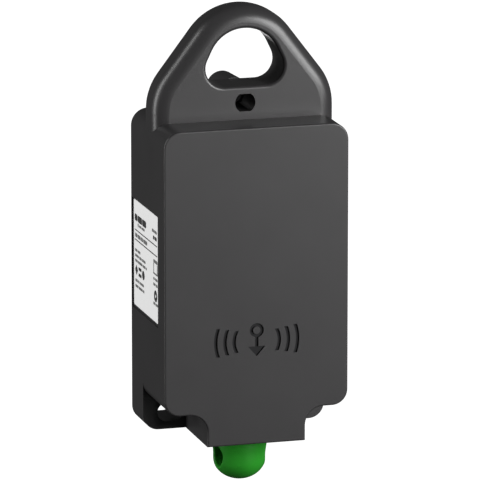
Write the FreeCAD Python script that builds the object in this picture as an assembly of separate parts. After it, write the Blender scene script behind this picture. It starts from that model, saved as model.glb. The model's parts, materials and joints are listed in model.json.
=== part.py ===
import FreeCAD, Part
import math
import os

# Cord-pull radio switch: a moulded case with a hanging loop on top, two screw lugs at the
# bottom and a green cord eye below. Pulling the eye turns a lever, which rocks a magnet
# across a coil's core and so powers a small radio board. No battery and no cable.
#
# Frame (mm): origin at the middle of the case's flat back, +Z up along the pull,
# +X to the right seen from the front, +Y out of the back. The front faces -Y.

os.makedirs("parts", exist_ok=True)
V = FreeCAD.Vector

# ---------------------------------------------------------------- driving dimensions
BODY_W = 60.0                    # case width
BODY_D = 40.0                    # case depth
BODY_H = 102.0                   # case height without the loop
WALL = 3.0                       # moulded wall
TRAVEL = 8.0                     # stroke of the cord eye

HALF_W = BODY_W / 2
TOP = BODY_H / 2                 # top face of the case
BASE = -BODY_H / 2               # lower edge of the case
FRONT = -BODY_D                  # front face of the case
IN_FRONT = FRONT + WALL          # inside of the front wall
IN_SIDE = HALF_W - WALL          # inside of the side walls
IN_TOP = TOP - WALL              # inside of the top wall

TOP_CORNER_R = 5.5               # upper corners of the case
LOW_CORNER_R = 5.0               # lower corners of the case
EDGE_R = 0.5                     # softened front edge

# screw lugs: the front of the case stops short and leaves the lugs free
LUG_T = 14.0                     # thickness of the lugs
LUG_FREE = 10.8                  # height over which the lugs are free
TONGUE_HALF = 16.0               # half width of the tongue between the lugs
COVE_R = 6.0                     # hollow corner beside the tongue
SLOT_X = 21.0                    # slot centre to middle of the case
SLOT_Z = BASE + 5.5
SLOT_R = 3.0                     # half width of the slot
SLOT_HALF = 1.3                  # slot centre to end-circle centre
IN_BASE = BASE + LUG_FREE + 3.2  # floor of the main chamber, above the lugs
TONGUE_IN = 13.0                 # half width of the chamber inside the tongue

# hanging loop
LOOP_T = 14.0                    # thickness
LOOP_Y = FRONT / 2               # middle plane of the loop
LOOP_FOOT_X = 10.7               # centre of the bend at the foot of each leg
LOOP_FOOT_Z = TOP + 3.0
LOOP_FOOT_R = 19.0
LOOP_TOP_Z = TOP + 16.7          # centre of the crown
LOOP_TOP_R = 19.2
LOOP_EDGE_R = 5.0                # rounding of the loop's outer edges
HOLE_CORNER_X = 6.65             # lower corners of the hand hole
HOLE_CORNER_Z = TOP + 16.65
HOLE_CORNER_R = 6.05
HOLE_TOP_Z = TOP + 17.25
HOLE_TOP_R = 11.8
HOLE_EDGE_R = 1.0

# upper screw hole, through the foot of the loop and a tapered boss behind it
TOP_HOLE_Z = TOP + 5.4
TOP_HOLE_R = 3.3                 # front stretch, a round hole with two flats
TOP_HOLE_FLAT = 2.8              # flats above and below, and radius of the rear stretch
BOSS_R_REAR = 5.05
BOSS_R_FRONT = 5.55
BOSS_RIB_HALF = 4.0

# rating label on the left side (viewer's left), in a shallow pocket
LABEL_Y = (-31.7, -2.3)
LABEL_Z = (-12.2, 22.2)
POCKET_GAP = 0.4
POCKET_REAR_GAP = 1.5
POCKET_LOW_GAP = 1.0
POCKET_DEPTH = 0.5
LABEL_T = 0.15

# rear cover, flush with the back
COVER_T = 2.5
GASKET_T = 0.8
COVER_HALF = 28.45               # half width of the cover
COVER_GAP = 0.15
COVER_R = 4.0
COVER_LOW = IN_BASE - 1.45
COVER_HIGH = IN_TOP + 1.45
SEAT_Y = -COVER_T - GASKET_T     # ledge that the gasket lies on
SCREW_X = 23.5                   # cover screws
SCREW_HIGH = IN_TOP - 3.5
SCREW_LOW = IN_BASE + 3.5
SCREW_SHANK_R = 1.2
SCREW_HOLE_R = 1.6
SCREW_HEAD_R = 2.9
SCREW_HEAD_H = 1.5
SCREW_BOSS_R = 3.6
BOSS_TOP_Y = -COVER_T - 0.05
INSERT_R = 2.3
INSERT_L = 6.0
THREAD_ROOM_R = 1.25             # bore for the cover screws' threads

# pull train, all on one vertical axis
ROD_Y = FRONT / 2                # axis of the eye, rod and spring
ROD_R = 2.5
ROD_LOW = -50.0
ROD_HIGH = 8.0
EYE_BOTTOM = -67.2
EYE_R = 8.6                      # at the top of the dome
EYE_DOME = 7.4                   # height of the domed underside
EYE_SKIRT_R = 8.95
EYE_TOP = -52.0                  # shoulder, just under the case
EYE_HOLE_Z = -58.6
EYE_HOLE_R = 4.0
EYE_HOLE_TURN = 4.0              # degrees that the cross hole is turned from +X
EYE_RIM_R = 0.7
STEM_R = 5.0
STEM_TOP = -36.0
RUN_GAP = 0.06                   # radial clearance of the running fits
SEAT_LOW = -33.0                 # spring bridge, underside and top
SEAT_TOP = -30.0
COLLAR_LOW = -4.0                # spring collar
COLLAR_T = 2.0
CLIP_T = 0.8
SPRING_R = 4.9                   # mean radius of the coil
WIRE_R = 0.6
SPRING_TURNS = 7.5
PIN_Z = 4.0                      # drive pin at rest
DRIVE_PIN_R = 1.25
EYE_PIN_Z = -39.0                # pin that holds the eye on the rod
EYE_PIN_R = 1.0
SEAL_Z = (-45.4, -43.0)          # wiper ring in the guide bush
SEAL_R = 6.6
BUSH_TOP = -42.0
BUSH_MOUTH_R = 8.0
BUSH_NECK_R = 7.6
BUSH_FLANGE_R = 9.6
BUSH_FLANGE_T = 1.5
CLIP_GROOVE_R = 1.8

# transfer lever: pivots beside the rod and is level at half stroke
LEVER_X = 14.0
LEVER_SWING = 2 * math.degrees(math.atan2(TRAVEL / 2, LEVER_X))
HUB_R = 3.0
CHEEK_T = 2.0
CHEEK_H = 4.6
NOSE_X = 4.0                     # nose from the pivot at half stroke
NOSE_Z = 8.6
NOSE_R = 0.9
LEVER_PIN_R = 1.5
LEVER_EARS_Y = (-25.7, -13.7)    # length of the lever's hub
LEVER_WEB_HALF = 2.4
CHEEK_GAP = 0.3                  # rod to cheek
PIN_SLOT_R = 1.45                # slots in the cheeks for the drive pin
PIN_SLOT_X = -0.3
PIN_SLOT_HALF = 0.6

# generator
ROCK_X = 4.0                     # rocker pin
ROCK_Z = 12.6
ROCK_SWING = 9.1                 # degrees over the whole stroke
CORE_T = 1.5
PLATE_T = 1.0
MAGNET_H = 3.4
ROCKER_HALF = 5.0                # half depth of magnet and pole plates
ROCKER_HUB_R = 3.0
ROCKER_ARM_L = 18.0
ROCKER_PIN_R = 1.0
CORE_HALF = 3.0                  # half depth of the core
CORE_RISE = 9.5                  # core's bar to its return leg
CORE_TAIL = 3.0                  # core beyond the coil
COIL_X = (-21.0, -9.0)
FLANGE_T = 1.2
FLANGE_Y = (-27.0, -13.0)
FLANGE_HALF = 5.2
BOBBIN_WALL = 0.8
BOBBIN_GAP = 0.15
WINDING_HALF_Y = 6.2
WINDING_HALF_Z = 4.6
PIN_R = 0.35                     # coil terminals
FRAME_X = (-25.2, 9.5)           # generator frame
FRAME_Z = (6.6, 25.0)
FRAME_PLATE_Y = (-29.0, -27.0)
FRAME_EAR_X = (0.8, 7.2)
FRAME_EAR_Z = (9.2, 19.0)
FRAME_FAR_Y = (-14.2, -12.6)
FRAME_NEAR_Y = (-27.0, -25.8)
FRAME_SCREWS = ((-23.3, 8.6), (7.5, 23.2))
SMALL_SCREW_R = 0.9

# carrier and board
DECK_Y = (-31.0, -29.0)          # carrier plate
DECK_X = 25.0
DECK_Z = (-29.0, 40.0)
BOARD_Y = (-8.0, -6.4)
BOARD_X = 21.0
BOARD_Z = (-28.5, 39.5)
POST_X = 17.5                    # board posts
POST_Z = (-25.0, 36.0)
POST_R = 2.4
DECK_SCREW_X = 20.0
DECK_SCREW_Z = (-20.0, 31.0)
DECK_SCREW_R = 1.0
BRIDGE_HALF = 9.0                # spring bridge on the carrier
BRIDGE_BACK = -11.0
SHIELD_X = (-16.0, 0.0)
SHIELD_Z = (-22.0, -6.0)
SHIELD_H = 2.6
SHIELD_T = 0.3
CHIP_H = 1.0
CAN_R = 2.5                      # storage capacitors
CAN_H = 4.6
CAN_X = (6.5, 13.0)
CAN_Z = -18.0
DIODE_X = -19.6
DIODE_PITCH = 3.2
DIODE_W = 1.8
DIODE_Z = (1.0, 3.6)
ANTENNA_TURNS = 9
ANTENNA_PITCH = 1.5
ANTENNA_R = 1.9
ANTENNA_WIRE_R = 0.35
ANTENNA_X = 14.0
ANTENNA_Z = 15.0

# engraved picture on the front
MARK_Z = -17.4                   # its middle
MARK_DEPTH = 0.6
MARK_STROKE = 0.55               # half width of the engraved lines
WAVE_R = (7.4, 10.4, 13.4)


# ---------------------------------------------------------------- small helpers
def block(xs, ys, zs):
    return Part.makeBox(xs[1] - xs[0], ys[1] - ys[0], zs[1] - zs[0], V(xs[0], ys[0], zs[0]))


def bar_z(r, zs, x=0.0, y=ROD_Y):
    return Part.makeCylinder(r, zs[1] - zs[0], V(x, y, zs[0]), V(0, 0, 1))


def bar_y(r, ys, x, z):
    return Part.makeCylinder(r, ys[1] - ys[0], V(x, ys[0], z), V(0, 1, 0))


def bar_x(r, xs, y, z):
    return Part.makeCylinder(r, xs[1] - xs[0], V(xs[0], y, z), V(1, 0, 0))


def ring_z(outer, inner, zs):
    return bar_z(outer, zs).cut(bar_z(inner, zs))


def join(shapes):
    return shapes[0].multiFuse(shapes[1:]).removeSplitter()


def polar(cx, cz, r, degrees):
    a = math.radians(degrees)
    return (cx + r * math.cos(a), cz + r * math.sin(a))


class Outline:
    """A closed outline in the XZ plane, drawn from point to point."""

    def __init__(self, x, z):
        self.start = (x, z)
        self.at = (x, z)
        self.edges = []

    def line(self, x, z):
        if math.dist(self.at, (x, z)) > 1e-6:
            self.edges.append(Part.makeLine(V(self.at[0], 0, self.at[1]), V(x, 0, z)))
            self.at = (x, z)
        return self

    def arc(self, cx, cz, r, a0, a1):
        first = polar(cx, cz, r, a0)
        middle = polar(cx, cz, r, (a0 + a1) / 2)
        last = polar(cx, cz, r, a1)
        self.line(*first)
        self.edges.append(Part.Arc(*[V(x, 0, z) for x, z in (first, middle, last)]).toShape())
        self.at = last
        return self

    def plate(self, ys):
        self.line(*self.start)
        face = Part.Face(Part.Wire(self.edges))
        face.translate(V(0, ys[0], 0))
        return face.extrude(V(0, ys[1] - ys[0], 0))


def rounded_plate(half, zs, r_low, r_high, ys):
    path = Outline(-half + r_low, zs[0])
    path.arc(half - r_low, zs[0] + r_low, r_low, -90, 0)
    path.arc(half - r_high, zs[1] - r_high, r_high, 0, 90)
    path.arc(-half + r_high, zs[1] - r_high, r_high, 90, 180)
    path.arc(-half + r_low, zs[0] + r_low, r_low, 180, 270)
    return path.plate(ys)


def capsule(x, z, half, r, ys):
    """A level slot shape: two half circles joined by straight runs."""
    path = Outline(x - half, z - r)
    path.arc(x + half, z, r, -90, 90)
    path.arc(x - half, z, r, 90, 270)
    return path.plate(ys)


def edges_where(shape, test):
    return [e for e in shape.Edges if test(e.BoundBox)]


def lies_at_y(box, y):
    return abs(box.YMin - y) < 1e-3 and abs(box.YMax - y) < 1e-3


def save(name, shape):
    if len(shape.Solids) == 1:
        shape = shape.Solids[0]
    assert shape.isValid(), name
    shape.exportStep("parts/%s.step" % name)


# ---------------------------------------------------------------- case
def crown_angle(dx, dz, dr):
    """Direction in which one straight leg faces: square to the common tangent of the
    corner circle and the crown circle, which lie dx, dz apart and differ by dr."""
    lean = math.degrees(math.atan2(-dz, dx))
    return math.degrees(math.acos(dr / math.hypot(dx, dz))) - lean


def crowned_plate(x, z, r, top_z, top_r, first, foot_z, ys):
    """Outline with a round crown, straight leaning legs and a round corner at each foot."""
    lean = crown_angle(x, z - top_z, top_r - r)
    start = polar(x, z, r, first)
    path = Outline(start[0], foot_z)
    path.arc(x, z, r, first, lean)
    path.arc(0, top_z, top_r, lean, 180 - lean)
    path.arc(-x, z, r, 180 - lean, 180 - first)
    path.line(-start[0], foot_z)
    return path.plate(ys)


def front_block():
    low = BASE + LUG_FREE
    path = Outline(-TONGUE_HALF, BASE)
    path.line(TONGUE_HALF, BASE)
    path.arc(TONGUE_HALF + COVE_R, low - COVE_R, COVE_R, 180, 90)
    path.arc(HALF_W - LOW_CORNER_R, low + LOW_CORNER_R, LOW_CORNER_R, -90, 0)
    path.arc(HALF_W - TOP_CORNER_R, TOP - TOP_CORNER_R, TOP_CORNER_R, 0, 90)
    path.arc(TOP_CORNER_R - HALF_W, TOP - TOP_CORNER_R, TOP_CORNER_R, 90, 180)
    path.arc(LOW_CORNER_R - HALF_W, low + LOW_CORNER_R, LOW_CORNER_R, 180, 270)
    path.arc(-TONGUE_HALF - COVE_R, low - COVE_R, COVE_R, 90, 0)
    solid = path.plate((FRONT, -LUG_T + 1.0))
    return solid.makeFillet(EDGE_R, edges_where(solid, lambda b: lies_at_y(b, FRONT)))


def rear_block():
    solid = rounded_plate(HALF_W, (BASE, TOP), LOW_CORNER_R, TOP_CORNER_R, (-LUG_T, 0))
    return solid.makeFillet(EDGE_R, edges_where(solid, lambda b: lies_at_y(b, 0)))


def hanging_loop():
    ys = (LOOP_Y - LOOP_T / 2, LOOP_Y + LOOP_T / 2)
    foot = TOP - 2 * TOP_CORNER_R
    solid = crowned_plate(LOOP_FOOT_X, LOOP_FOOT_Z, LOOP_FOOT_R, LOOP_TOP_Z, LOOP_TOP_R, 0, foot, ys)
    rims = edges_where(solid, lambda b: (lies_at_y(b, ys[0]) or lies_at_y(b, ys[1])) and b.ZMax > foot + 1)
    solid = solid.makeFillet(LOOP_EDGE_R, rims)
    hole = crowned_plate(HOLE_CORNER_X, HOLE_CORNER_Z, HOLE_CORNER_R, HOLE_TOP_Z, HOLE_TOP_R,
                         -90, HOLE_CORNER_Z - HOLE_CORNER_R, ys)
    solid = solid.cut(hole)
    reach = HOLE_CORNER_X + HOLE_CORNER_R + 0.1
    rims = edges_where(solid, lambda b: (lies_at_y(b, ys[0]) or lies_at_y(b, ys[1]))
                       and b.XMax < reach and b.XMin > -reach and b.ZMin > TOP)
    return solid.makeFillet(HOLE_EDGE_R, rims)


def top_boss():
    depth = LOOP_Y + LOOP_T / 2
    base = V(0, depth - 1.0, TOP_HOLE_Z)
    cone = Part.makeCone(BOSS_R_FRONT, BOSS_R_REAR, 1.0 - depth, base, V(0, 1, 0))
    rib = block((-BOSS_RIB_HALF, BOSS_RIB_HALF), (depth - 1.0, 0), (TOP - 1.0, TOP_HOLE_Z))
    return cone.fuse(rib)


def top_hole():
    rear = LOOP_Y + LOOP_T / 2
    front = bar_y(TOP_HOLE_R, (FRONT, rear), 0, TOP_HOLE_Z)
    keep = block((-TOP_HOLE_R, TOP_HOLE_R), (FRONT, rear),
                 (TOP_HOLE_Z - TOP_HOLE_FLAT, TOP_HOLE_Z + TOP_HOLE_FLAT))
    return front.common(keep).fuse(bar_y(TOP_HOLE_FLAT, (rear - 1.0, 1.0), 0, TOP_HOLE_Z))


def both_sides(x, zs):
    return [(side * x, z) for z in zs for side in (-1, 1)]


def screw_places():
    return both_sides(SCREW_X, (SCREW_LOW, SCREW_HIGH))


def deck_screw_places():
    return both_sides(DECK_SCREW_X, DECK_SCREW_Z)


def post_places():
    return both_sides(POST_X, POST_Z)


def pull_emblem():
    """A ring on a down arrow, with radio waves on each side."""
    ys = (FRONT - 1.0, FRONT + MARK_DEPTH)
    ring_r = 2.3
    neck_z = MARK_Z + 1.3
    head_z = MARK_Z - 1.8
    head_half = 2.8
    head_h = 3.2
    ring = bar_y(ring_r, ys, 0, neck_z + ring_r - 0.2)
    ring = ring.cut(bar_y(ring_r - 2 * MARK_STROKE, ys, 0, neck_z + ring_r - 0.2))
    shaft = block((-MARK_STROKE, MARK_STROKE), ys, (head_z - 0.5, neck_z))
    head = Outline(0, head_z - head_h)
    head.line(head_half, head_z).line(-head_half, head_z)
    shapes = [ring, shaft, head.plate(ys)]
    for side in (-1, 1):
        for r in WAVE_R:
            wave = bar_y(r + MARK_STROKE, ys, 0, MARK_Z).cut(bar_y(r - MARK_STROKE, ys, 0, MARK_Z))
            half = 2.2 + 0.18 * r
            window = block(sorted((side * 4.5, side * 16.0)), ys, (MARK_Z - half, MARK_Z + half))
            shapes.append(wave.common(window))
    return Part.makeCompound(shapes)


def main_housing():
    body = join([front_block(), rear_block(), hanging_loop(), top_boss()])
    chamber = rounded_plate(IN_SIDE, (IN_BASE, IN_TOP), 2.0, 2.0, (IN_FRONT, 1.0))
    shaft_room = block((-TONGUE_IN, TONGUE_IN), (IN_FRONT, -WALL), (BASE + WALL, IN_BASE + 1.0))
    rebate = rounded_plate(COVER_HALF + COVER_GAP, (COVER_LOW - COVER_GAP, COVER_HIGH + COVER_GAP),
                           COVER_R, COVER_R, (SEAT_Y, 1.0))
    body = body.cut(chamber).cut(shaft_room).cut(rebate)

    # screw bosses and carrier feet, rooted half a millimetre into the walls
    root = 0.5
    inside = rounded_plate(IN_SIDE + root, (IN_BASE - root, IN_TOP + root), 2.0, 2.0,
                           (IN_FRONT - root, 0))
    bosses = [bar_y(SCREW_BOSS_R, (IN_FRONT - root, BOSS_TOP_Y), x, z) for x, z in screw_places()]
    feet = [bar_y(3.0, (IN_FRONT - root, DECK_Y[0]), x, z) for x, z in deck_screw_places()]
    body = join([body] + [s.common(inside) for s in bosses + feet])
    drills = [bar_y(INSERT_R, (BOSS_TOP_Y - INSERT_L, 0), x, z) for x, z in screw_places()]
    drills += [bar_y(THREAD_ROOM_R, (-14.0, 0), x, z) for x, z in screw_places()]
    drills += [bar_y(DECK_SCREW_R, (IN_FRONT - 1.0, DECK_Y[1]), x, z) for x, z in deck_screw_places()]

    slots = [capsule(s * SLOT_X, SLOT_Z, SLOT_HALF, SLOT_R, (FRONT - 1, 1)) for s in (-1, 1)]
    mouth = bar_z(BUSH_MOUTH_R, (BASE - 1.0, BASE + WALL + 1.0))
    pocket = block((-HALF_W - 1.0, -HALF_W + POCKET_DEPTH),
                   (LABEL_Y[0] - POCKET_GAP, LABEL_Y[1] + POCKET_REAR_GAP),
                   (LABEL_Z[0] - POCKET_LOW_GAP, LABEL_Z[1] + POCKET_GAP))
    for tool in slots + drills + [mouth, pocket, top_hole(), pull_emblem(), cover_gasket()]:
        body = body.cut(tool)
    return body


def rear_cover():
    plate = rounded_plate(COVER_HALF, (COVER_LOW, COVER_HIGH), COVER_R - COVER_GAP, COVER_R - COVER_GAP,
                          (-COVER_T, 0))
    sink_r = SCREW_HEAD_R + 0.2
    for x, z in screw_places():
        plate = plate.cut(bar_y(SCREW_HOLE_R, (-COVER_T - 1, 1), x, z))
        base = V(x, -SCREW_HEAD_H, z)
        plate = plate.cut(Part.makeCone(SCREW_HOLE_R, sink_r, SCREW_HEAD_H, base, V(0, 1, 0)))
    ribs = [block((-17.0, 17.0), (-COVER_T - 1.0, -COVER_T), (z - 0.6, z + 0.6)) for z in (-24, -8, 8, 24)]
    return join([plate] + ribs)


def cover_gasket():
    ys = (SEAT_Y, -COVER_T)
    outer = rounded_plate(COVER_HALF, (COVER_LOW, COVER_HIGH), COVER_R, COVER_R, ys)
    inner = rounded_plate(IN_SIDE, (IN_BASE, IN_TOP), 2.0, 2.0, ys)
    return outer.cut(inner)


def countersunk_screw(x, z):
    """A cross-recessed screw that goes in towards -Y."""
    sunk = -0.1
    base = V(x, sunk - SCREW_HEAD_H, z)
    head = Part.makeCone(SCREW_SHANK_R, SCREW_HEAD_R, SCREW_HEAD_H, base, V(0, 1, 0))
    solid = head.fuse(bar_y(SCREW_SHANK_R, (-11.5, -SCREW_HEAD_H), x, z))
    arm = 1.6
    blade = 0.3
    for half_x, half_z in ((arm, blade), (blade, arm)):
        solid = solid.cut(block((x - half_x, x + half_x), (-0.9, 0.5), (z - half_z, z + half_z)))
    return solid


def pan_screw(x, z, r, head_r, head_h, under_head, length):
    """A pan-head screw that goes in towards -Y."""
    head = bar_y(head_r, (under_head, under_head + head_h), x, z)
    rim = edges_where(head, lambda b: lies_at_y(b, under_head + head_h))
    head = head.makeFillet(head_h * 0.4, rim)
    drive = bar_y(head_r * 0.45, (under_head + head_h * 0.4, under_head + 2 * head_h), x, z)
    return head.fuse(bar_y(r, (under_head - length, under_head), x, z)).cut(drive)


def pan_screws(places, r, head_r, head_h, under_head, length):
    return Part.makeCompound([pan_screw(x, z, r, head_r, head_h, under_head, length) for x, z in places])


def threaded_insert(x, z):
    ys = (BOSS_TOP_Y - INSERT_L, BOSS_TOP_Y)
    waist = (BOSS_TOP_Y - 3.4, BOSS_TOP_Y - 2.6)
    solid = bar_y(INSERT_R, ys, x, z).cut(bar_y(THREAD_ROOM_R, ys, x, z))
    return solid.cut(bar_y(INSERT_R + 1, waist, x, z).cut(bar_y(INSERT_R - 0.4, waist, x, z)))


def rating_label():
    x = -HALF_W + POCKET_DEPTH
    sheet = block((x - LABEL_T, x), LABEL_Y, LABEL_Z)
    corners = [e for e in sheet.Edges if e.BoundBox.XLength > LABEL_T / 2]
    return sheet.makeFillet(0.8, corners)


# ---------------------------------------------------------------- pull train
def eye_hole():
    turn = math.radians(EYE_HOLE_TURN)
    along = V(math.cos(turn), math.sin(turn), 0)
    start = V(0, ROD_Y, EYE_HOLE_Z) - along * 20.0
    return Part.makeCylinder(EYE_HOLE_R, 40.0, start, along)


def pull_eye():
    """Domed eye, skirt and stem turned about the rod's axis, with a rounded hole across."""
    dome_z = EYE_BOTTOM + EYE_DOME
    lip = 0.6
    stem_edge = 0.5

    def at(r, z):
        return V(r, ROD_Y, z)
    dome = [at(EYE_R * math.sin(math.radians(a)), dome_z - EYE_DOME * math.cos(math.radians(a)))
            for a in range(0, 91, 15)]
    widest = EYE_TOP - 2 * lip
    flare = [at(EYE_R + share * (EYE_SKIRT_R - EYE_R), dome_z + share * (widest - dome_z))
             for share in (0.35, 0.7, 1.0)]
    side = Part.BSplineCurve()
    side.interpolate(dome + flare, InitialTangent=V(1, 0, 0), FinalTangent=V(0.13, 0, 1))
    shoulder = [at(EYE_SKIRT_R, widest), at(EYE_SKIRT_R, EYE_TOP - lip), at(EYE_SKIRT_R - lip, EYE_TOP),
                at(STEM_R, EYE_TOP), at(STEM_R, STEM_TOP - stem_edge), at(STEM_R - stem_edge, STEM_TOP),
                at(0, STEM_TOP), at(0, EYE_BOTTOM)]
    wire = Part.Wire([side.toShape()] + list(Part.makePolygon(shoulder).Edges))
    solid = Part.Face(wire).revolve(V(0, ROD_Y, 0), V(0, 0, 1), 360)
    solid = solid.cut(bar_z(ROD_R + RUN_GAP, (ROD_LOW - RUN_GAP, STEM_TOP + 1)))
    solid = solid.cut(bar_x(EYE_PIN_R, (-6, 6), ROD_Y, EYE_PIN_Z))
    hole = eye_hole()
    axis = hole.Faces[0].Surface.Axis
    solid = solid.cut(hole)

    def on_rim(edge):
        spots = [p - V(0, ROD_Y, EYE_HOLE_Z) for p in edge.discretize(5)]
        off = max(abs(p.cross(axis).Length - EYE_HOLE_R) for p in spots)
        return off < 0.01 and edge.BoundBox.XLength < EYE_R
    return solid.makeFillet(EYE_RIM_R, [e for e in solid.Edges if not e.Degenerated and on_rim(e)])


def pull_rod():
    rod = bar_z(ROD_R, (ROD_LOW, ROD_HIGH))
    ends = edges_where(rod, lambda b: b.ZLength < 1e-3)
    rod = rod.makeChamfer(0.4, ends)
    clip = COLLAR_LOW + COLLAR_T
    rod = rod.cut(ring_z(ROD_R + 1, CLIP_GROOVE_R, (clip, clip + CLIP_T)))
    rod = rod.cut(bar_x(EYE_PIN_R, (-6, 6), ROD_Y, EYE_PIN_Z))
    return rod.cut(bar_y(DRIVE_PIN_R, (ROD_Y - 5, ROD_Y + 5), 0, PIN_Z))


def guide_bush():
    low = BASE + 0.2
    seat = BASE + WALL
    solid = join([bar_z(BUSH_MOUTH_R, (low, seat)), bar_z(BUSH_FLANGE_R, (seat, seat + BUSH_FLANGE_T)),
                  bar_z(BUSH_NECK_R, (seat, BUSH_TOP))])
    solid = solid.cut(bar_z(STEM_R + RUN_GAP, (low - 1, BUSH_TOP + 1)))
    return solid.cut(bar_z(SEAL_R, SEAL_Z))


def stem_seal():
    lip = Part.makeTorus((SEAL_R + STEM_R) / 2 + 0.2, 0.45, V(0, ROD_Y, SEAL_Z[1]))
    return ring_z(SEAL_R, STEM_R + RUN_GAP, SEAL_Z).cut(lip)


def return_spring():
    low = SEAT_TOP + WIRE_R
    high = COLLAR_LOW - WIRE_R
    helix = Part.makeHelix((high - low) / SPRING_TURNS, high - low, SPRING_R)
    section = Part.Wire(Part.makeCircle(WIRE_R, V(SPRING_R, 0, 0), V(0, 1, 0)))
    coil = Part.Wire(helix).makePipeShell([section], True, True)
    coil.translate(V(0, ROD_Y, low))
    return coil


def retaining_clip():
    zs = (COLLAR_LOW + COLLAR_T, COLLAR_LOW + COLLAR_T + CLIP_T)
    opening = block((-1.5, 1.5), (ROD_Y, ROD_Y + 6), zs)
    return ring_z(4.0, CLIP_GROOVE_R + 0.05, zs).cut(opening)


def spring_collar():
    solid = ring_z(6.5, ROD_R + RUN_GAP, (COLLAR_LOW, COLLAR_LOW + COLLAR_T))
    return solid.makeChamfer(0.4, edges_where(solid, lambda b: b.ZLength < 1e-3 and b.XLength > 12.5))


# ---------------------------------------------------------------- transfer lever
def turned(shape, x, z, degrees):
    """Turn about an axis along Y; positive lifts the +X side."""
    shape.rotate(V(x, 0, z), V(0, -1, 0), degrees)
    return shape


def transfer_lever():
    """Drawn level, as at half stroke, then turned back to its rest position."""
    cheeks = []
    for y in (ROD_Y - ROD_R - CHEEK_GAP - CHEEK_T, ROD_Y + ROD_R + CHEEK_GAP):
        ys = (y, y + CHEEK_T)
        arm = capsule(LEVER_X / 2 - 0.6, 0, LEVER_X / 2 + 0.6, CHEEK_H / 2, ys)
        cheeks.append(arm.cut(capsule(PIN_SLOT_X, 0, PIN_SLOT_HALF, PIN_SLOT_R, ys)))
    finger = Outline(LEVER_X - LEVER_WEB_HALF, 0)
    finger.line(LEVER_X + LEVER_WEB_HALF, 0)
    finger.arc(LEVER_X + NOSE_X, NOSE_Z, NOSE_R, 0, 180)
    web = finger.plate((ROD_Y - 1.5, ROD_Y + 1.5))
    hub = bar_y(HUB_R, LEVER_EARS_Y, LEVER_X, 0)
    solid = join([hub, web] + cheeks)
    bore = bar_y(LEVER_PIN_R + RUN_GAP, (LEVER_EARS_Y[0] - 1, LEVER_EARS_Y[1] + 1), LEVER_X, 0)
    return turned(solid.cut(bore), LEVER_X, 0, -LEVER_SWING / 2)


# ---------------------------------------------------------------- generator
def rocker_parts():
    """Magnet carrier and what it holds, drawn level and turned back to rest."""
    wide = (ROD_Y - ROCKER_HALF, ROD_Y + ROCKER_HALF)
    hold = (wide[0] - 0.4, wide[1] + 0.4)
    hub = bar_y(ROCKER_HUB_R, hold, ROCK_X, ROCK_Z)
    arm = block((ROCK_X, ROCK_X + ROCKER_ARM_L), (ROD_Y - 2.0, ROD_Y + 2.0), (ROCK_Z - 3.0, ROCK_Z - 0.6))
    holder = block((-2.0, ROCK_X), hold, (ROCK_Z - 3.7, ROCK_Z + 3.7))
    inner = MAGNET_H / 2
    outer = inner + PLATE_T
    magnet = block((-2.0, 1.0), wide, (ROCK_Z - inner, ROCK_Z + inner))
    upper = block((-7.0, 1.0), wide, (ROCK_Z + inner, ROCK_Z + outer))
    lower = block((-7.0, 1.0), wide, (ROCK_Z - outer, ROCK_Z - inner))
    carrier = join([hub, arm, holder]).cut(bar_y(ROCKER_PIN_R + RUN_GAP, (-30, -10), ROCK_X, ROCK_Z))
    for piece in (magnet, upper, lower):
        carrier = carrier.cut(piece)
    pieces = {"rocker_carrier": carrier, "rocker_magnet": magnet,
              "upper_pole_plate": upper, "lower_pole_plate": lower}
    return {name: turned(s, ROCK_X, ROCK_Z, -ROCK_SWING / 2) for name, s in pieces.items()}


def iron_core():
    half = CORE_T / 2
    ys = (ROD_Y - CORE_HALF, ROD_Y + CORE_HALF)
    far = COIL_X[0] - CORE_TAIL
    top = ROCK_Z + CORE_RISE
    bar = block((far, -3.0), ys, (ROCK_Z - half, ROCK_Z + half))
    back = block((far, far + CORE_T), ys, (ROCK_Z - half, top + CORE_T))
    leg = block((far, 2.0), ys, (top, top + CORE_T))
    return join([bar, back, leg])


def pin_places():
    return [(COIL_X[0] + FLANGE_T / 2, ROCK_Z + dz) for dz in (-4.0, 4.0)]


def coil_pins(ys):
    return [bar_y(PIN_R, ys, x, z) for x, z in pin_places()]


def coil_bobbin():
    half_y = CORE_HALF + 0.2
    half_z = CORE_T / 2 + BOBBIN_GAP
    out_y = half_y + BOBBIN_WALL
    out_z = half_z + BOBBIN_WALL
    tube = block(COIL_X, (ROD_Y - out_y, ROD_Y + out_y), (ROCK_Z - out_z, ROCK_Z + out_z))
    flanges = [block((x, x + FLANGE_T), FLANGE_Y, (ROCK_Z - FLANGE_HALF, ROCK_Z + FLANGE_HALF))
               for x in (COIL_X[0], COIL_X[1] - FLANGE_T)]
    solid = join([tube] + flanges)
    solid = solid.cut(block((COIL_X[0] - 1, COIL_X[1] + 1), (ROD_Y - half_y, ROD_Y + half_y),
                            (ROCK_Z - half_z, ROCK_Z + half_z)))
    for pin in coil_pins((FLANGE_Y[1] - 3.0, FLANGE_Y[1] + 1.0)):
        solid = solid.cut(pin)
    return solid


def coil_winding():
    xs = (COIL_X[0] + FLANGE_T, COIL_X[1] - FLANGE_T)
    core_y = CORE_HALF + 0.2 + BOBBIN_WALL
    core_z = CORE_T / 2 + BOBBIN_GAP + BOBBIN_WALL
    outer = block(xs, (ROD_Y - WINDING_HALF_Y, ROD_Y + WINDING_HALF_Y),
                  (ROCK_Z - WINDING_HALF_Z, ROCK_Z + WINDING_HALF_Z))
    outer = outer.makeFillet(2.0, [e for e in outer.Edges if e.BoundBox.XLength > 1.0])
    return outer.cut(block(xs, (ROD_Y - core_y, ROD_Y + core_y), (ROCK_Z - core_z, ROCK_Z + core_z)))


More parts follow.
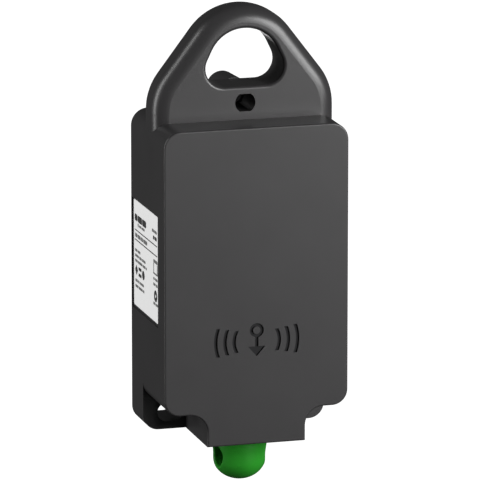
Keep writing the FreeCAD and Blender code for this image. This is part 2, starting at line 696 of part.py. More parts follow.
def generator_frame():
    plate = block(FRAME_X, FRAME_PLATE_Y, FRAME_Z)
    near_ear = block(FRAME_EAR_X, FRAME_NEAR_Y, FRAME_EAR_Z)
    far_ear = block(FRAME_EAR_X, FRAME_FAR_Y, FRAME_EAR_Z)
    roof = block(FRAME_EAR_X, (FRAME_NEAR_Y[0], FRAME_FAR_Y[1]), (FRAME_EAR_Z[1] - 1.6, FRAME_EAR_Z[1]))
    shelf = block((-24.5, 1.0), (FRAME_PLATE_Y[1], ROD_Y + CORE_HALF),
                  (ROCK_Z + CORE_RISE + CORE_T, FRAME_Z[1]))
    frame = join([plate, near_ear, far_ear, roof, shelf])
    for x, z in FRAME_SCREWS:
        frame = frame.cut(bar_y(SMALL_SCREW_R, (-30, -26), x, z))
        frame = frame.cut(bar_y(2.0, (FRAME_PLATE_Y[1], FRAME_PLATE_Y[1] + 6), x, z))
    return frame.cut(bar_y(ROCKER_PIN_R, (-28.0, -12.0), ROCK_X, ROCK_Z))


# ---------------------------------------------------------------- carrier and board
def inner_carrier():
    deck = rounded_plate(DECK_X, DECK_Z, 3.0, 3.0, DECK_Y)
    back = DECK_Y[1]
    bridge = block((-BRIDGE_HALF, BRIDGE_HALF), (back, BRIDGE_BACK), (SEAT_LOW, SEAT_TOP))
    apron = block((-BRIDGE_HALF, BRIDGE_HALF), DECK_Y, (SEAT_LOW, DECK_Z[0] + 1))
    cheeks = [block(sorted((s * 7.4, s * BRIDGE_HALF)), (back, -14.0), (SEAT_TOP - 1, -20.0))
              for s in (-1, 1)]
    near_ear = bar_y(3.6, (back, -26.0), LEVER_X, 0)
    sill = block((11.2, 17.5), (back, -11.2), (-6.4, -4.2))
    far_ear = block((11.2, 17.5), (-13.4, -11.2), (-6.4, 3.4))
    posts = [bar_y(POST_R, (back, BOARD_Y[0]), x, z) for x, z in post_places()]
    solid = join([deck, bridge, apron, near_ear, sill, far_ear] + cheeks + posts)
    drills = [bar_z(ROD_R + RUN_GAP, (SEAT_LOW - 1, SEAT_TOP + 1))]
    drills.append(bar_y(LEVER_PIN_R, (DECK_Y[0], -10.0), LEVER_X, 0))
    drills += [bar_y(SMALL_SCREW_R, (-16.0, -7.0), x, z) for x, z in post_places()]
    drills += [bar_y(1.35, (DECK_Y[0] - 1, back + 1), x, z) for x, z in deck_screw_places()]
    drills += [bar_y(SMALL_SCREW_R, (DECK_Y[0] - 1, back + 1), x, z) for x, z in FRAME_SCREWS]
    for tool in drills:
        solid = solid.cut(tool)
    return solid


def circuit_board():
    through = (BOARD_Y[0] - 1, BOARD_Y[1] + 1)
    board = rounded_plate(BOARD_X, BOARD_Z, 2.0, 2.0, BOARD_Y)
    for hole in [bar_y(1.1, through, x, z) for x, z in post_places()] + coil_pins(through):
        board = board.cut(hole)
    return board


def on_board(xs, height, zs):
    """A block on the board's component side, which faces the front."""
    return block(xs, (BOARD_Y[0] - height, BOARD_Y[0]), zs)


def radio_shield():
    can = on_board(SHIELD_X, SHIELD_H, SHIELD_Z)
    can = can.makeFillet(0.5, edges_where(can, lambda b: not lies_at_y(b, BOARD_Y[0])))
    return can.cut(on_board((SHIELD_X[0] + SHIELD_T, SHIELD_X[1] - SHIELD_T), SHIELD_H - SHIELD_T,
                            (SHIELD_Z[0] + SHIELD_T, SHIELD_Z[1] - SHIELD_T)))


def storage_capacitors():
    top = BOARD_Y[0] - CAN_H
    cans = []
    for x in CAN_X:
        can = bar_y(CAN_R, (top, BOARD_Y[0]), x, CAN_Z)
        cans.append(can.makeFillet(0.4, edges_where(can, lambda b: lies_at_y(b, top))))
    return Part.makeCompound(cans)


def rectifier_diodes():
    lefts = [DIODE_X + DIODE_PITCH * i for i in range(4)]
    return Part.makeCompound([on_board((x, x + DIODE_W), CHIP_H, DIODE_Z) for x in lefts])


def antenna_coil():
    helix = Part.makeHelix(ANTENNA_PITCH, ANTENNA_TURNS * ANTENNA_PITCH, ANTENNA_R)
    section = Part.Wire(Part.makeCircle(ANTENNA_WIRE_R, V(ANTENNA_R, 0, 0), V(0, 1, 0)))
    coil = Part.Wire(helix).makePipeShell([section], True, True)
    coil.translate(V(ANTENNA_X, BOARD_Y[0] - ANTENNA_R - ANTENNA_WIRE_R - 0.05, ANTENNA_Z))
    return coil


# ---------------------------------------------------------------- write every piece
def main():
    save("main_housing", main_housing())
    save("rear_cover", rear_cover())
    save("cover_gasket", cover_gasket())
    save("cover_screws", Part.makeCompound([countersunk_screw(x, z) for x, z in screw_places()]))
    save("cover_inserts", Part.makeCompound([threaded_insert(x, z) for x, z in screw_places()]))
    save("rating_label", rating_label())

    save("pull_eye", pull_eye())
    save("pull_rod", pull_rod())
    save("eye_cross_pin", bar_x(EYE_PIN_R, (-4.6, 4.6), ROD_Y, EYE_PIN_Z))
    save("guide_bush", guide_bush())
    save("stem_seal", stem_seal())
    save("bump_stop", ring_z(STEM_R, ROD_R + 0.3, (STEM_TOP + 0.1, SEAT_LOW)))
    save("stop_sleeve", ring_z(3.6, ROD_R + 0.2, (SEAT_TOP, COLLAR_LOW - TRAVEL - 0.1)))
    save("return_spring", return_spring())
    save("spring_collar", spring_collar())
    save("retaining_clip", retaining_clip())
    save("drive_pin", bar_y(DRIVE_PIN_R, (ROD_Y - 5.2, ROD_Y + 5.2), 0, PIN_Z))

    save("transfer_lever", transfer_lever())
    save("lever_pivot_pin", bar_y(LEVER_PIN_R, (-30.5, -11.0), LEVER_X, 0))
    for name, shape in rocker_parts().items():
        save(name, shape)
    save("rocker_pin", bar_y(ROCKER_PIN_R, (-27.6, -12.4), ROCK_X, ROCK_Z))
    save("iron_core", iron_core())
    save("coil_bobbin", coil_bobbin())
    save("coil_winding", coil_winding())
    save("coil_terminals", Part.makeCompound(coil_pins((FLANGE_Y[1] - 3.0, BOARD_Y[1] + 0.8))))
    save("generator_frame", generator_frame())
    save("generator_screws", pan_screws(FRAME_SCREWS, SMALL_SCREW_R, 1.8, 1.2, FRAME_PLATE_Y[1], 3.8))

    save("inner_carrier", inner_carrier())
    save("carrier_screws", pan_screws(deck_screw_places(), DECK_SCREW_R, 2.2, 1.6, DECK_Y[1], 7.5))
    save("circuit_board", circuit_board())
    save("board_screws", pan_screws(post_places(), SMALL_SCREW_R, 1.9, 1.3, BOARD_Y[1], 8.0))
    save("radio_shield", radio_shield())
    save("radio_chip", on_board((-11.0, -5.0), CHIP_H, (-17.0, -11.0)))
    save("storage_capacitors", storage_capacitors())
    save("rectifier_diodes", rectifier_diodes())
    save("antenna_coil", antenna_coil())


main()
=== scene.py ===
import json
import math

import bmesh
import bpy
from mathutils import Matrix, Vector


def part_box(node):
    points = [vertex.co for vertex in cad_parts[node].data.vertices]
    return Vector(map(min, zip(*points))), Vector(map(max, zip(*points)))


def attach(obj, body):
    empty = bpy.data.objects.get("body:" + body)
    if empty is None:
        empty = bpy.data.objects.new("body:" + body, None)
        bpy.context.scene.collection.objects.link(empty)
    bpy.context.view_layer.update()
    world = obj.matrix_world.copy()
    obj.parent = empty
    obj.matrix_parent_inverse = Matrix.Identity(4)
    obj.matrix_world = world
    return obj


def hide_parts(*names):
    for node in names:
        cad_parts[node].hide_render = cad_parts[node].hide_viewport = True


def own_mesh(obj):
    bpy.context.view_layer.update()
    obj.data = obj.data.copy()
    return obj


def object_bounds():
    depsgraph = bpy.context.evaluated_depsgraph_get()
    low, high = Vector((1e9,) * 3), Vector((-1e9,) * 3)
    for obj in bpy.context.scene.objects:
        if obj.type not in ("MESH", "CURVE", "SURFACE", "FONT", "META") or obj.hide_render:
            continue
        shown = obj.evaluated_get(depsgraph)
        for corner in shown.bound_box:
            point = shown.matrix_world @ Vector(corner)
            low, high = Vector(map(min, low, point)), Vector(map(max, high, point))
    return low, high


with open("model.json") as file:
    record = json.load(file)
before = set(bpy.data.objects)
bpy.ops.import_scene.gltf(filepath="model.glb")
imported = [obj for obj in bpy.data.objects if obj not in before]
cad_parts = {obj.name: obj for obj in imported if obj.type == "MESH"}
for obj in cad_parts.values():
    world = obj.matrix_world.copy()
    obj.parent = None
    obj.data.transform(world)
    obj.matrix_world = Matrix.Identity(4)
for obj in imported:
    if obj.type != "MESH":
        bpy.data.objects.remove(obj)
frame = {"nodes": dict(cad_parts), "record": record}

cad_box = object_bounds()
MM = 0.001
NODES = frame["nodes"]
scene = bpy.context.scene


# ---------------------------------------------------------------- shader helpers
class Shader:
    """A procedural material built node by node around one Principled shader."""

    def __init__(self, name, color, roughness=0.5, metallic=0.0, **fixed):
        self.material = bpy.data.materials.new(name)
        self.material.use_nodes = True
        self.tree = self.material.node_tree
        self.shader = self.tree.nodes["Principled BSDF"]
        self.shader.inputs["Base Color"].default_value = (*color, 1.0)
        self.shader.inputs["Roughness"].default_value = roughness
        self.shader.inputs["Metallic"].default_value = metallic
        for socket, value in fixed.items():
            self.shader.inputs[socket.replace("_", " ")].default_value = value
        self.place = self.node("ShaderNodeTexCoord").outputs["Object"]
        self.normal = None

    def node(self, kind, **settings):
        """A new node; each setting goes to the socket or the property of that name."""
        made = self.tree.nodes.new(kind)
        for key, value in settings.items():
            if key in made.inputs:
                made.inputs[key].default_value = value
            else:
                setattr(made, key, value)
        return made

    def link(self, a, b):
        self.tree.links.new(a, b)

    def noise(self, per_mm, detail=4.0, rough=0.55, stretch=(1, 1, 1)):
        """Noise with per_mm grains to the millimetre, in the object's own place."""
        scale = self.node("ShaderNodeMapping")
        scale.inputs["Scale"].default_value = [s * per_mm / MM for s in stretch]
        self.link(self.place, scale.inputs["Vector"])
        noise = self.node("ShaderNodeTexNoise", Scale=1.0, Detail=detail, Roughness=rough)
        self.link(scale.outputs["Vector"], noise.inputs["Vector"])
        return noise.outputs["Fac"]

    def bands(self, way, per_mm, distortion):
        """Waves across the direction way, per_mm of them to the millimetre."""
        wave = self.node("ShaderNodeTexWave", wave_type="BANDS", bands_direction=way, Scale=per_mm / MM,
                         Distortion=distortion, Detail=1.0)
        self.link(self.place, wave.inputs["Vector"])
        return wave.outputs["Fac"]

    def map(self, value, low, high, from_low=0.0, from_high=1.0):
        """The value stretched from one range to another."""
        ramp = self.node("ShaderNodeMapRange")
        ramp.inputs["From Min"].default_value = from_low
        ramp.inputs["From Max"].default_value = from_high
        ramp.inputs["To Min"].default_value = low
        ramp.inputs["To Max"].default_value = high
        self.link(value, ramp.inputs["Value"])
        return ramp.outputs["Result"]

    def color_between(self, factor, a, b):
        mix = self.node("ShaderNodeMix", data_type="RGBA")
        mix.inputs["A"].default_value = (*a, 1.0)
        mix.inputs["B"].default_value = (*b, 1.0)
        self.link(factor, mix.inputs["Factor"])
        self.link(mix.outputs["Result"], self.shader.inputs["Base Color"])

    def roughness_from(self, value, low, high):
        self.link(self.map(value, low, high), self.shader.inputs["Roughness"])

    def bump(self, height, depth_mm, strength=1.0):
        """Adds a relief depth_mm deep; several of them stack up."""
        bump = self.node("ShaderNodeBump", Strength=strength, Distance=depth_mm * MM)
        self.link(height, bump.inputs["Height"])
        if self.normal is not None:
            self.link(self.normal, bump.inputs["Normal"])
        self.normal = bump.outputs["Normal"]
        self.link(self.normal, self.shader.inputs["Normal"])


# ---------------------------------------------------------------- materials
def case_plastic():
    """Charcoal moulding with a fine spark-eroded grain."""
    s = Shader("case_plastic", (0.036, 0.035, 0.036), 0.27, Specular_IOR_Level=0.5)
    grain = s.noise(1.7, detail=3.0, rough=0.7)
    cloud = s.noise(0.05, detail=2.0)
    s.color_between(s.map(cloud, 0.0, 1.0, 0.3, 0.7), (0.034, 0.033, 0.034), (0.038, 0.037, 0.038))
    s.roughness_from(grain, 0.29, 0.38)
    s.bump(grain, 0.022, 0.5)
    return s.material


def eye_plastic():
    """Signal-green moulding, satin, with faint flow marks."""
    s = Shader("eye_plastic", (0.02, 0.25, 0.018), 0.40, Specular_IOR_Level=0.16)
    flow = s.noise(0.12, detail=3.0, stretch=(1, 1, 0.35))
    s.color_between(s.map(flow, 0.0, 1.0, 0.3, 0.7), (0.018, 0.235, 0.016), (0.024, 0.27, 0.021))
    s.roughness_from(flow, 0.36, 0.46)
    s.bump(s.noise(2.0, detail=2.0), 0.008, 0.5)
    return s.material


def label_film():
    """White polyester film; the faint glow keeps it white on the shaded side."""
    s = Shader("label_film", (0.88, 0.88, 0.88), 0.45, Emission_Color=(1, 1, 1, 1), Emission_Strength=0.2)
    fibre = s.noise(1.5, detail=3.0)
    s.color_between(fibre, (0.86, 0.86, 0.86), (0.90, 0.90, 0.90))
    s.roughness_from(fibre, 0.40, 0.52)
    s.bump(fibre, 0.004, 0.4)
    return s.material


def label_ink(name, shade):
    """Printed ink of one grey shade, slightly mottled."""
    s = Shader(name, (shade, shade, shade), 0.55)
    speck = s.noise(4.0, detail=2.0)
    s.color_between(speck, (shade * 0.85,) * 3, (shade * 1.2,) * 3)
    s.roughness_from(speck, 0.45, 0.62)
    return s.material


def seal_rubber():
    """Soft black rubber with a dull moulded skin."""
    s = Shader("seal_rubber", (0.018, 0.018, 0.018), 0.7)
    skin = s.noise(2.5, detail=4.0)
    s.color_between(skin, (0.014, 0.014, 0.014), (0.024, 0.024, 0.023))
    s.roughness_from(skin, 0.62, 0.82)
    s.bump(skin, 0.02, 0.5)
    return s.material


def metal(name, dark, light, rough, turned=(1, 1, 8), depth=0.01):
    """Bare or plated metal; the grain runs across the direction that turned stretches."""
    s = Shader(name, light, rough, metallic=1.0)
    marks = s.noise(0.8, detail=4.0, stretch=turned)
    s.color_between(marks, dark, light)
    s.roughness_from(marks, rough * 0.75, rough * 1.3)
    s.bump(marks, depth, 0.4)
    return s.material


def moulded(name, dark, light, rough):
    """Plain moulded plastic between two close shades, with a fine grain."""
    s = Shader(name, light, rough)
    grain = s.noise(2.2, detail=3.0)
    s.color_between(s.noise(0.08, detail=2.0), dark, light)
    s.roughness_from(grain, rough * 0.85, rough * 1.15)
    s.bump(grain, 0.01, 0.5)
    return s.material


def board_laminate():
    """Dark green solder mask with the glass weave showing faintly through it."""
    s = Shader("board_laminate", (0.008, 0.10, 0.035), 0.35, Coat_Weight=0.4, Coat_Roughness=0.15)
    both = s.node("ShaderNodeMath", operation="MULTIPLY")
    s.link(s.bands("X", 0.45, 0.6), both.inputs[0])
    s.link(s.bands("Z", 0.45, 0.6), both.inputs[1])
    weave = both.outputs["Value"]
    s.color_between(weave, (0.007, 0.085, 0.030), (0.010, 0.115, 0.042))
    s.roughness_from(s.noise(0.6), 0.28, 0.40)
    s.bump(weave, 0.01, 0.4)
    return s.material


def track_mask():
    """Solder mask where copper lies under it: lighter, and a little smoother."""
    s = Shader("track_mask", (0.02, 0.20, 0.07), 0.3, Coat_Weight=0.4, Coat_Roughness=0.12)
    spots = s.noise(1.2, detail=3.0)
    s.color_between(spots, (0.018, 0.180, 0.062), (0.024, 0.220, 0.078))
    s.roughness_from(spots, 0.25, 0.36)
    s.bump(spots, 0.004, 0.4)
    return s.material


def coil_copper():
    """Enamelled winding: fine turns side by side."""
    s = Shader("coil_copper", (0.62, 0.24, 0.10), 0.3, metallic=1.0)
    turns = s.bands("X", 1.1, 0.4)
    # painted shade: the copper colour darkens in the groove between neighbouring turns
    s.color_between(turns, (0.36, 0.12, 0.05), (0.70, 0.30, 0.13))
    s.roughness_from(turns, 0.45, 0.25)
    s.bump(turns, 0.05, 0.8)
    return s.material


def painted_shade_film():
    """Near-black film with hardly any shine, used as painted shade."""
    s = Shader("emblem_painted_shade", (0.012, 0.012, 0.013), 0.6, Specular_IOR_Level=0.2)
    speck = s.noise(3.0, detail=2.0)
    s.color_between(speck, (0.009, 0.009, 0.010), (0.016, 0.016, 0.017))
    s.roughness_from(speck, 0.5, 0.7)
    return s.material


ZINC = metal("zinc_steel", (0.48, 0.48, 0.46), (0.66, 0.66, 0.63), 0.30)
SPRING = metal("spring_steel", (0.36, 0.36, 0.37), (0.55, 0.55, 0.55), 0.28, turned=(1, 1, 1))
BRASS = metal("insert_brass", (0.60, 0.42, 0.16), (0.78, 0.60, 0.28), 0.28)
IRON = metal("soft_iron", (0.26, 0.26, 0.28), (0.42, 0.42, 0.44), 0.40, turned=(8, 1, 1))
NICKEL = metal("magnet_nickel", (0.60, 0.59, 0.56), (0.74, 0.73, 0.70), 0.16, turned=(1, 1, 1), depth=0.004)
TIN = metal("tin_shield", (0.58, 0.58, 0.56), (0.74, 0.74, 0.72), 0.26, turned=(1, 1, 6))
CAN = metal("capacitor_can", (0.58, 0.59, 0.61), (0.76, 0.76, 0.78), 0.24, turned=(1, 6, 1))
CASE = case_plastic()
ACETAL = moulded("bush_acetal", (0.68, 0.67, 0.62), (0.80, 0.79, 0.74), 0.42)
CARRIER = moulded("carrier_plastic", (0.24, 0.25, 0.27), (0.32, 0.33, 0.35), 0.5)
BLACK = moulded("bobbin_plastic", (0.016, 0.016, 0.017), (0.026, 0.026, 0.027), 0.45)
RESIN = moulded("chip_resin", (0.014, 0.014, 0.016), (0.024, 0.024, 0.026), 0.55)
COPPER = coil_copper()

SLOT_MATERIAL = {
    "case_plastic": CASE, "eye_plastic": eye_plastic(), "label_film": label_film(),
    "seal_rubber": seal_rubber(), "zinc_steel": ZINC, "spring_steel": SPRING,
    "insert_brass": BRASS, "bush_acetal": ACETAL, "carrier_plastic": CARRIER,
    "bobbin_plastic": BLACK, "copper": COPPER, "soft_iron": IRON, "magnet_nickel": NICKEL,
    "board_laminate": board_laminate(), "chip_resin": RESIN, "capacitor_can": CAN,
    "tin_shield": TIN,
}


def dress(obj, material):
    """Gives the object this one material."""
    obj.data.materials.clear()
    obj.data.materials.append(material)


def dress_cad_nodes():
    """Every node of the part gets the material of its slot."""
    for part in frame["record"]["subparts"]:
        dress(NODES[part["node"]], SLOT_MATERIAL[part["material_slot"]])


# ---------------------------------------------------------------- mesh helpers
def new_object(name, mesh, material, body):
    """A piece that moves with one of the part's bodies."""
    obj = bpy.data.objects.new(name, mesh)
    scene.collection.objects.link(obj)
    dress(obj, material)
    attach(obj, body)
    return obj


def smooth(mesh, angle):
    """Smooth shading, with edges that turn more than angle degrees left sharp."""
    for face in mesh.polygons:
        face.use_smooth = True
    mesh.set_sharp_from_angle(angle=math.radians(angle))


def full_turn(steps):
    """Evenly spaced angles round a circle."""
    return [2 * math.pi * k / steps for k in range(steps)]


def rounded_box(low, high, corner, step):
    """Points round a box from low to high with rounded corners; step is in degrees."""
    outline = []
    for x, y, start in ((high[0] - corner, low[1] + corner, -90), (high[0] - corner, high[1] - corner, 0),
                        (low[0] + corner, high[1] - corner, 90), (low[0] + corner, low[1] + corner, 180)):
        for degrees in range(start, start + 91, step):
            a = math.radians(degrees)
            outline.append((x + corner * math.cos(a), y + corner * math.sin(a)))
    return outline


def join_rings(bm, rings):
    """A wall of four-sided faces from each ring of corners to the next."""
    for a, b in zip(rings, rings[1:]):
        for k in range(len(a)):
            j = (k + 1) % len(a)
            bm.faces.new((a[k], a[j], b[j], b[k]))


def close_tube(bm, rings):
    """The wall round the rings, with a flat face at each end."""
    join_rings(bm, rings)
    bm.faces.new(list(reversed(rings[0])))
    bm.faces.new(rings[-1])


def tube_along(points, radius, sides=12):
    """A closed tube that follows the points, as a bmesh."""
    bm = bmesh.new()
    rings = []
    side = (points[1] - points[0]).normalized().orthogonal()
    for i, p in enumerate(points):
        ahead = points[min(i + 1, len(points) - 1)] - points[max(i - 1, 0)]
        ahead.normalize()
        side = (side - ahead * side.dot(ahead)).normalized()
        up = ahead.cross(side)
        rings.append([bm.verts.new(p + (side * math.cos(t) + up * math.sin(t)) * radius)
                      for t in full_turn(sides)])
    close_tube(bm, rings)
    return bm


def to_mesh(bm, name):
    """The finished mesh, with every face turned outwards."""
    bmesh.ops.recalc_face_normals(bm, faces=bm.faces)
    mesh = bpy.data.meshes.new(name)
    bm.to_mesh(mesh)
    bm.free()
    return mesh


# ---------------------------------------------------------------- return spring
def return_spring():
    """Compression spring with closed, ground-looking end turns; the real spring shortens as the eye is
    pulled, but this coil is built at one fixed length.
    """
    low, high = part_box("return_spring")
    centre = (low + high) / 2
    wire_r = 0.6 * MM
    coil_r = (high.x - low.x) / 2 - wire_r
    all_turns = 9.5
    end_turns = 1.0                     # closed turns at each end
    end_pitch = 2.05 * wire_r           # they lie almost wire on wire
    free_turns = all_turns - 2 * end_turns
    free_length = (high.z - low.z) - 2 * wire_r - 2 * end_turns * end_pitch
    steps = 44
    points = []
    for i in range(int(all_turns * steps) + 1):
        turn = i / steps
        in_ends = min(turn, end_turns) + max(turn - (all_turns - end_turns), 0.0)
        share = min(max((turn - end_turns) / free_turns, 0.0), 1.0)
        z = low.z + wire_r + end_pitch * in_ends + free_length * share
        a = 2 * math.pi * turn
        points.append(Vector((centre.x + coil_r * math.cos(a), centre.y + coil_r * math.sin(a), z)))
    mesh = to_mesh(tube_along(points, wire_r), "spring_coil")
    smooth(mesh, 60)
    spring = new_object("spring_coil", mesh, SPRING, "case")
    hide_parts("return_spring")
    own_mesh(spring)


# ---------------------------------------------------------------- engraved picture
def emblem_painted_shade():
    """A dark film on the floor of the engraved picture: painted shade standing in for the shadow in the
    engraving.
    """
    engraved = 0.6 * MM                 # depth of the engraving below the front face
    film = 0.06 * MM
    half_wide = 16 * MM
    bottom, top = -24 * MM, -10 * MM
    floor_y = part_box("main_housing")[0].y + engraved
    bm = bmesh.new()
    bm.from_mesh(NODES["main_housing"].data)
    outside = []
    for face in bm.faces:
        c = face.calc_center_median()
        on_floor = abs(face.normal.y) > 0.99 and abs(c.y - floor_y) < film
        if not (on_floor and abs(c.x) < half_wide and bottom < c.z < top):
            outside.append(face)
    bmesh.ops.delete(bm, geom=outside, context="FACES")
    bmesh.ops.remove_doubles(bm, verts=bm.verts, dist=0.001 * MM)
    front = bmesh.ops.extrude_face_region(bm, geom=list(bm.faces))
    moved = [v for v in front["geom"] if isinstance(v, bmesh.types.BMVert)]
    bmesh.ops.translate(bm, verts=moved, vec=(0, -film, 0))
    # painted shade: a near-black film laid on the engraving's floor, where the strokes fall in shadow
    new_object("emblem_painted_shade", to_mesh(bm, "emblem_painted_shade"), painted_shade_film(), "case")


# ---------------------------------------------------------------- coil turns
def coil_turns():
    """The winding as rows of wire side by side, on the rounded outline of the coil."""
    low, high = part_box("coil_winding")
    middle = (low + high) / 2
    half = (high - low) / 2
    rows = 28
    steps = 6                           # rings to each row of wire
    groove = 0.12 * MM
    outline = rounded_box((-half.y, -half.z), (half.y, half.z), 2.0 * MM, 15)
    bm = bmesh.new()
    rings = []
    for i in range(rows * steps + 1):
        share = i / (rows * steps)
        sink = groove * (1 - abs(math.sin(math.pi * share * rows)))
        x = low.x + share * (high.x - low.x)
        shrink_y = 1 - sink / half.y
        shrink_z = 1 - sink / half.z
        rings.append([bm.verts.new((x, middle.y + y * shrink_y, middle.z + z * shrink_z))
                      for y, z in outline])
    close_tube(bm, rings)
    mesh = to_mesh(bm, "coil_turns")
    smooth(mesh, 50)
    turns = new_object("coil_turns", mesh, COPPER, "case")
    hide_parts("coil_winding")


# ---------------------------------------------------------------- board print
class BoardPrint:
    """Thin tracks and pads on the rear face of the board; places are x, z in millimetres."""
    LIFT = 0.05 * MM

    def __init__(self):
        self.face_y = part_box("circuit_board")[1].y
        self.bm = bmesh.new()

    def spot(self, x, z, lift):
        return self.bm.verts.new((x * MM, self.face_y + lift, z * MM))

    def track(self, path, width):
        """A slab of even width along the path, mitred at its bends."""
        points = [Vector(p) for p in path]
        ways = [(b - a).normalized() for a, b in zip(points, points[1:])]
        rings = []
        for i, p in enumerate(points):
            before = ways[max(i - 1, 0)]
            after = ways[min(i, len(ways) - 1)]
            across = Vector((-before.y - after.y, before.x + after.x)).normalized()
            reach = width / 2 / across.dot(Vector((-after.y, after.x)))
            left = p + across * reach
            right = p - across * reach
            rings.append((self.spot(*left, 0), self.spot(*left, self.LIFT),
                          self.spot(*right, self.LIFT), self.spot(*right, 0)))
        close_tube(self.bm, rings)

    def pad(self, place, outer=0.85, inner=0.4, sides=20):
        """A ring of solder round the end of a track, twice as high as the track."""
        loops = []
        for r, lift in ((outer, 0), (outer, 2 * self.LIFT), (inner, 2 * self.LIFT), (inner, 0)):
            loops.append([self.spot(place[0] + r * math.cos(a), place[1] + r * math.sin(a), lift)
                          for a in full_turn(sides)])
        join_rings(self.bm, loops + loops[:1])

    def build(self, name, material, slot):
        new_object(name, to_mesh(self.bm, name), material, "case")


def board_print():
    """Feeds from the coil, supply lines to the capacitors and a few signal lines."""
    signal, supply = 0.5, 1.0           # widths of the two kinds of track
    aside = 8.0                         # how far the slanting stretch of a signal line goes
    low_pin, high_pin = 8.6, 16.6       # heights of the coil's two terminals
    paths = [([(-20.4, low_pin), (-18.4, low_pin), (-15.5, 5.7), (-15.5, 2.3)], supply),
             ([(-20.4, high_pin), (-15.4, high_pin), (-9.1, 10.3), (-9.1, 2.3)], supply),
             ([(-8.0, 0.0), (-8.0, -1.0), (6.5, -15.5), (6.5, -18.0)], supply),
             ([(-15.5, -1.0), (-15.5, -3.0), (0.5, -19.0), (0.5, -24.0), (10.0, -24.0),
               (13.0, -21.0)], supply),
             ([(18.0, 8.0), (18.0, -10.0), (13.0, -15.0), (13.0, -17.0)], supply)]
    for k in range(3):
        x = 8.5 + 1.6 * k
        paths.append(([(x, 12.0 + k), (x, 2.0), (x - aside, -6.0), (x - aside, -8.0)], signal))
    for k in range(4):
        x = -14.0 + 2.5 * k
        bend = 22.0 + 2.5 * k
        paths.append(([(x, 33.0), (x, bend), (x + aside, bend - aside), (x + aside, 4.5)], signal))
    tracks = BoardPrint()
    pads = BoardPrint()
    for path, width in paths:
        tracks.track(path, width)
        for end in (path[0], path[-1]):
            pads.pad(end)
    tracks.build("board_tracks", track_mask(), "board_laminate")
    pads.build("board_pads", TIN, "tin_shield")


# ---------------------------------------------------------------- label print
class LabelPrint:
    """Flat marks on the label. Places are in millimetres from the label's rear upper corner:
    across runs forwards over the label, down runs downwards."""
    LIFT = 0.03 * MM

    def __init__(self):
        low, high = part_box("rating_label")
        self.x = low.x - self.LIFT
        self.y0 = high.y
        self.z0 = high.z
        self.bm = bmesh.new()

    def spot(self, across, down):
        return Vector((self.x, self.y0 - across * MM, self.z0 - down * MM))

    def face(self, outline):
        """A thin slab with this outline."""
        back = [self.bm.verts.new(self.spot(a, d) + Vector((self.LIFT, 0, 0))) for a, d in outline]
        front = [self.bm.verts.new(self.spot(a, d)) for a, d in outline]
        self.bm.faces.new(front)
        self.bm.faces.new(list(reversed(back)))
        join_rings(self.bm, [front, back])

    def bar(self, across, down, wide, high):
        """A bar with rounded ends, from its rear upper corner."""
        corner = min(wide, high) * 0.3
        self.face(rounded_box((across, down), (across + wide, down + high), corner, 30))

    def line_of_words(self, across, down, high, words, gap=0.45):
        """Bars in a row, one for each width in words."""
        for wide in words:
            self.bar(across, down, wide, high)
            across += wide + gap

    def ring(self, across, down, outer, inner, sides=28):
        loops = []
        for r, sink in ((outer, 0), (outer, self.LIFT), (inner, self.LIFT), (inner, 0)):
            loops.append([self.bm.verts.new(self.spot(across + r * math.cos(a), down + r * math.sin(a))
                                            + Vector((sink, 0, 0))) for a in full_turn(sides)])
        join_rings(self.bm, loops + loops[:1])

    def disc(self, across, down, r, sides=24):
        self.face([(across + r * math.cos(a), down + r * math.sin(a)) for a in full_turn(sides)])

    def build(self, name, material):
        new_object(name, to_mesh(self.bm, name), material, "case")


def dark_print():
    """The heading, two rules, a row of plain shapes and a ring."""
    left = 1.2
    rule_wide, rule_high = 26.6, 0.38
    shapes = 22.6                       # height of the middle of the row of shapes
    half = 1.6                          # half the diamond's width
    diamond = left + 1.9
    dark = LabelPrint()
    dark.line_of_words(left, 4.5, 2.2, (3.2, 5.2, 4.6), gap=0.3)
    dark.bar(left, 9.5, rule_wide, rule_high)
    dark.bar(left, 12.7, rule_wide, rule_high)
    dark.face([(diamond - half, shapes), (diamond, shapes - 1.7), (diamond + half, shapes),
               (diamond, shapes + 1.7)])
    dark.bar(5.6, shapes - 1.5, 3.4, 1.1)
    dark.bar(5.6, shapes + 0.5, 3.4, 1.1)
    dark.disc(11.3, shapes, 1.5)
    dark.ring(25.9, 26.0, 1.9, 0.5)
    dark.line_of_words(23.0, 6.9, 1.2, (1.8, 2.3), gap=0.3)
    dark.build("label_print_dark", label_ink("label_ink_dark", 0.045))


def grey_print():
    """The small print in two columns, and an empty box."""
    text = 0.9                          # height of a line of small print
    left, right = 1.5, 23.2             # the two columns
    box_left, box_top, box_wide, box_line = 23.4, 14.4, 4.9, 0.7
    grey = LabelPrint()
    grey.line_of_words(left, 15.8, text, (2.6, 3.2))
    grey.line_of_words(left, 17.5, text, (4.4, 3.0, 4.2))
    grey.line_of_words(left, 19.2, text, (3.0, 5.2, 3.4, 1.0))
    grey.disc(5.2, 7.7, 0.65)
    grey.line_of_words(6.4, 7.3, 0.8, (2.6, 3.6), gap=0.4)
    grey.line_of_words(left + 0.1, 10.7, 1.3, (2.8, 3.4, 2.4, 4.6), gap=0.4)
    grey.line_of_words(21.8, 4.9, 1.0, (2.4, 3.0), gap=0.3)
    grey.line_of_words(left + 0.2, 25.6, text, (2.8, 1.6, 4.8))
    grey.line_of_words(left + 0.2, 27.4, text, (3.6, 4.6, 1.6))
    grey.bar(box_left, box_top, box_wide, 1.1)
    grey.bar(box_left, box_top + 1.1, box_line, 3.6)
    grey.bar(box_left + box_wide - box_line, box_top + 1.1, box_line, 3.6)
    grey.bar(box_left, box_top + 4.2, box_wide, 0.6)
    grey.line_of_words(right, 20.2, text, (1.6, 3.0))
    grey.line_of_words(right, 22.0, text, (2.6, 2.0))
    grey.line_of_words(right, 28.2, text, (2.2, 2.6))
    grey.build("label_print_grey", label_ink("label_ink_grey", 0.20))


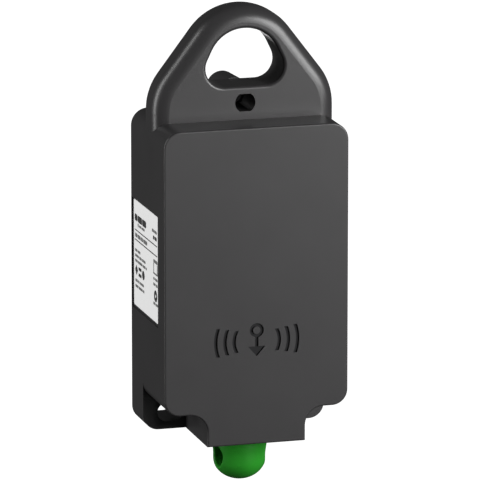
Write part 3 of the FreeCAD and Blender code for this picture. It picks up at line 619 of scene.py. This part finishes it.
# ---------------------------------------------------------------- studio
def direction(azimuth, height):
    """From the object outwards: degrees from the front towards the right side, and upwards."""
    a = math.radians(azimuth)
    h = math.radians(height)
    return Vector((math.sin(a) * math.cos(h), -math.cos(a) * math.cos(h), math.sin(h)))


def area_light(name, place, aim, size, power):
    """A white rectangular soft box that faces the point aim."""
    data = bpy.data.lights.new(name, "AREA")
    data.shape = "RECTANGLE"
    data.size, data.size_y = size
    data.energy = power
    lamp = bpy.data.objects.new(name, data)
    scene.collection.objects.link(lamp)
    lamp.location = place
    lamp.rotation_euler = (aim - place).to_track_quat("-Z", "Y").to_euler()


def studio():
    """Soft boxes round the object, in a dim white surrounding."""
    middle = (cad_box[0] + cad_box[1]) / 2
    reach = 1.2
    lights = (("key", 40, 16, (0.8, 0.55), 17.0),
              ("front", 27, -1, (0.4, 0.3), 2.2),
              ("side", -98, 15, (0.35, 1.3), 11.0),
              ("back", 164, -13, (0.3, 0.3), 1.2))
    for name, azimuth, height, size, power in lights:
        area_light(name, middle + direction(azimuth, height) * reach, middle, size, power)
    world = bpy.data.worlds.new("studio")
    world.use_nodes = True
    world.node_tree.nodes["Background"].inputs["Color"].default_value = (1, 1, 1, 1)
    world.node_tree.nodes["Background"].inputs["Strength"].default_value = 0.05
    scene.world = world
    scene.view_settings.view_transform = "Standard"


def floor():
    """A pale floor far below the hanging object, rising to a wall all round it."""
    low, top = -2.3, 3.5
    flat = 2.5
    bend = 1.0
    profile = [(flat, low)]
    for degrees in range(10, 91, 10):
        turn = math.radians(degrees)
        profile.append((flat + bend * math.sin(turn), low + bend * (1 - math.cos(turn))))
    profile.append((flat + bend, top))
    bm = bmesh.new()
    rings = [[bm.verts.new((r * math.cos(a), r * math.sin(a), z)) for a in full_turn(48)]
             for r, z in profile]
    bm.faces.new(rings[0])
    join_rings(bm, rings)
    mesh = to_mesh(bm, "studio_floor")
    smooth(mesh, 80)
    obj = bpy.data.objects.new("studio_floor", mesh)
    scene.collection.objects.link(obj)
    paper = Shader("floor_paper", (0.85, 0.85, 0.85), 0.9, Emission_Color=(1, 1, 1, 1),
                   Emission_Strength=1.0)
    dress(obj, paper.material)
    obj.visible_diffuse = False
    obj.visible_glossy = False


def camera():
    """Long lens, a little to the left of the front and a little above."""
    azimuth, elevation = -16.139, 13.079
    distance = 1.86022
    aim = Vector((0.0, -0.022, 0.014))
    shift_right, shift_up = -0.00026, -0.002846
    back = direction(azimuth, elevation)
    right = Vector((0, 0, 1)).cross(back).normalized()
    up = back.cross(right)
    data = bpy.data.cameras.new("camera")
    data.sensor_width = 36.0
    data.lens = 441.74
    data.clip_start = 0.05
    data.clip_end = 20.0
    obj = bpy.data.objects.new("camera", data)
    scene.collection.objects.link(obj)
    place = aim + back * distance + right * shift_right + up * shift_up
    turn = Matrix((right, up, back)).transposed()
    obj.matrix_world = Matrix.Translation(place) @ turn.to_4x4()
    scene.camera = obj


dress_cad_nodes()
return_spring()
coil_turns()
board_print()
emblem_painted_shade()
dark_print()
grey_print()
studio()
floor()
camera()
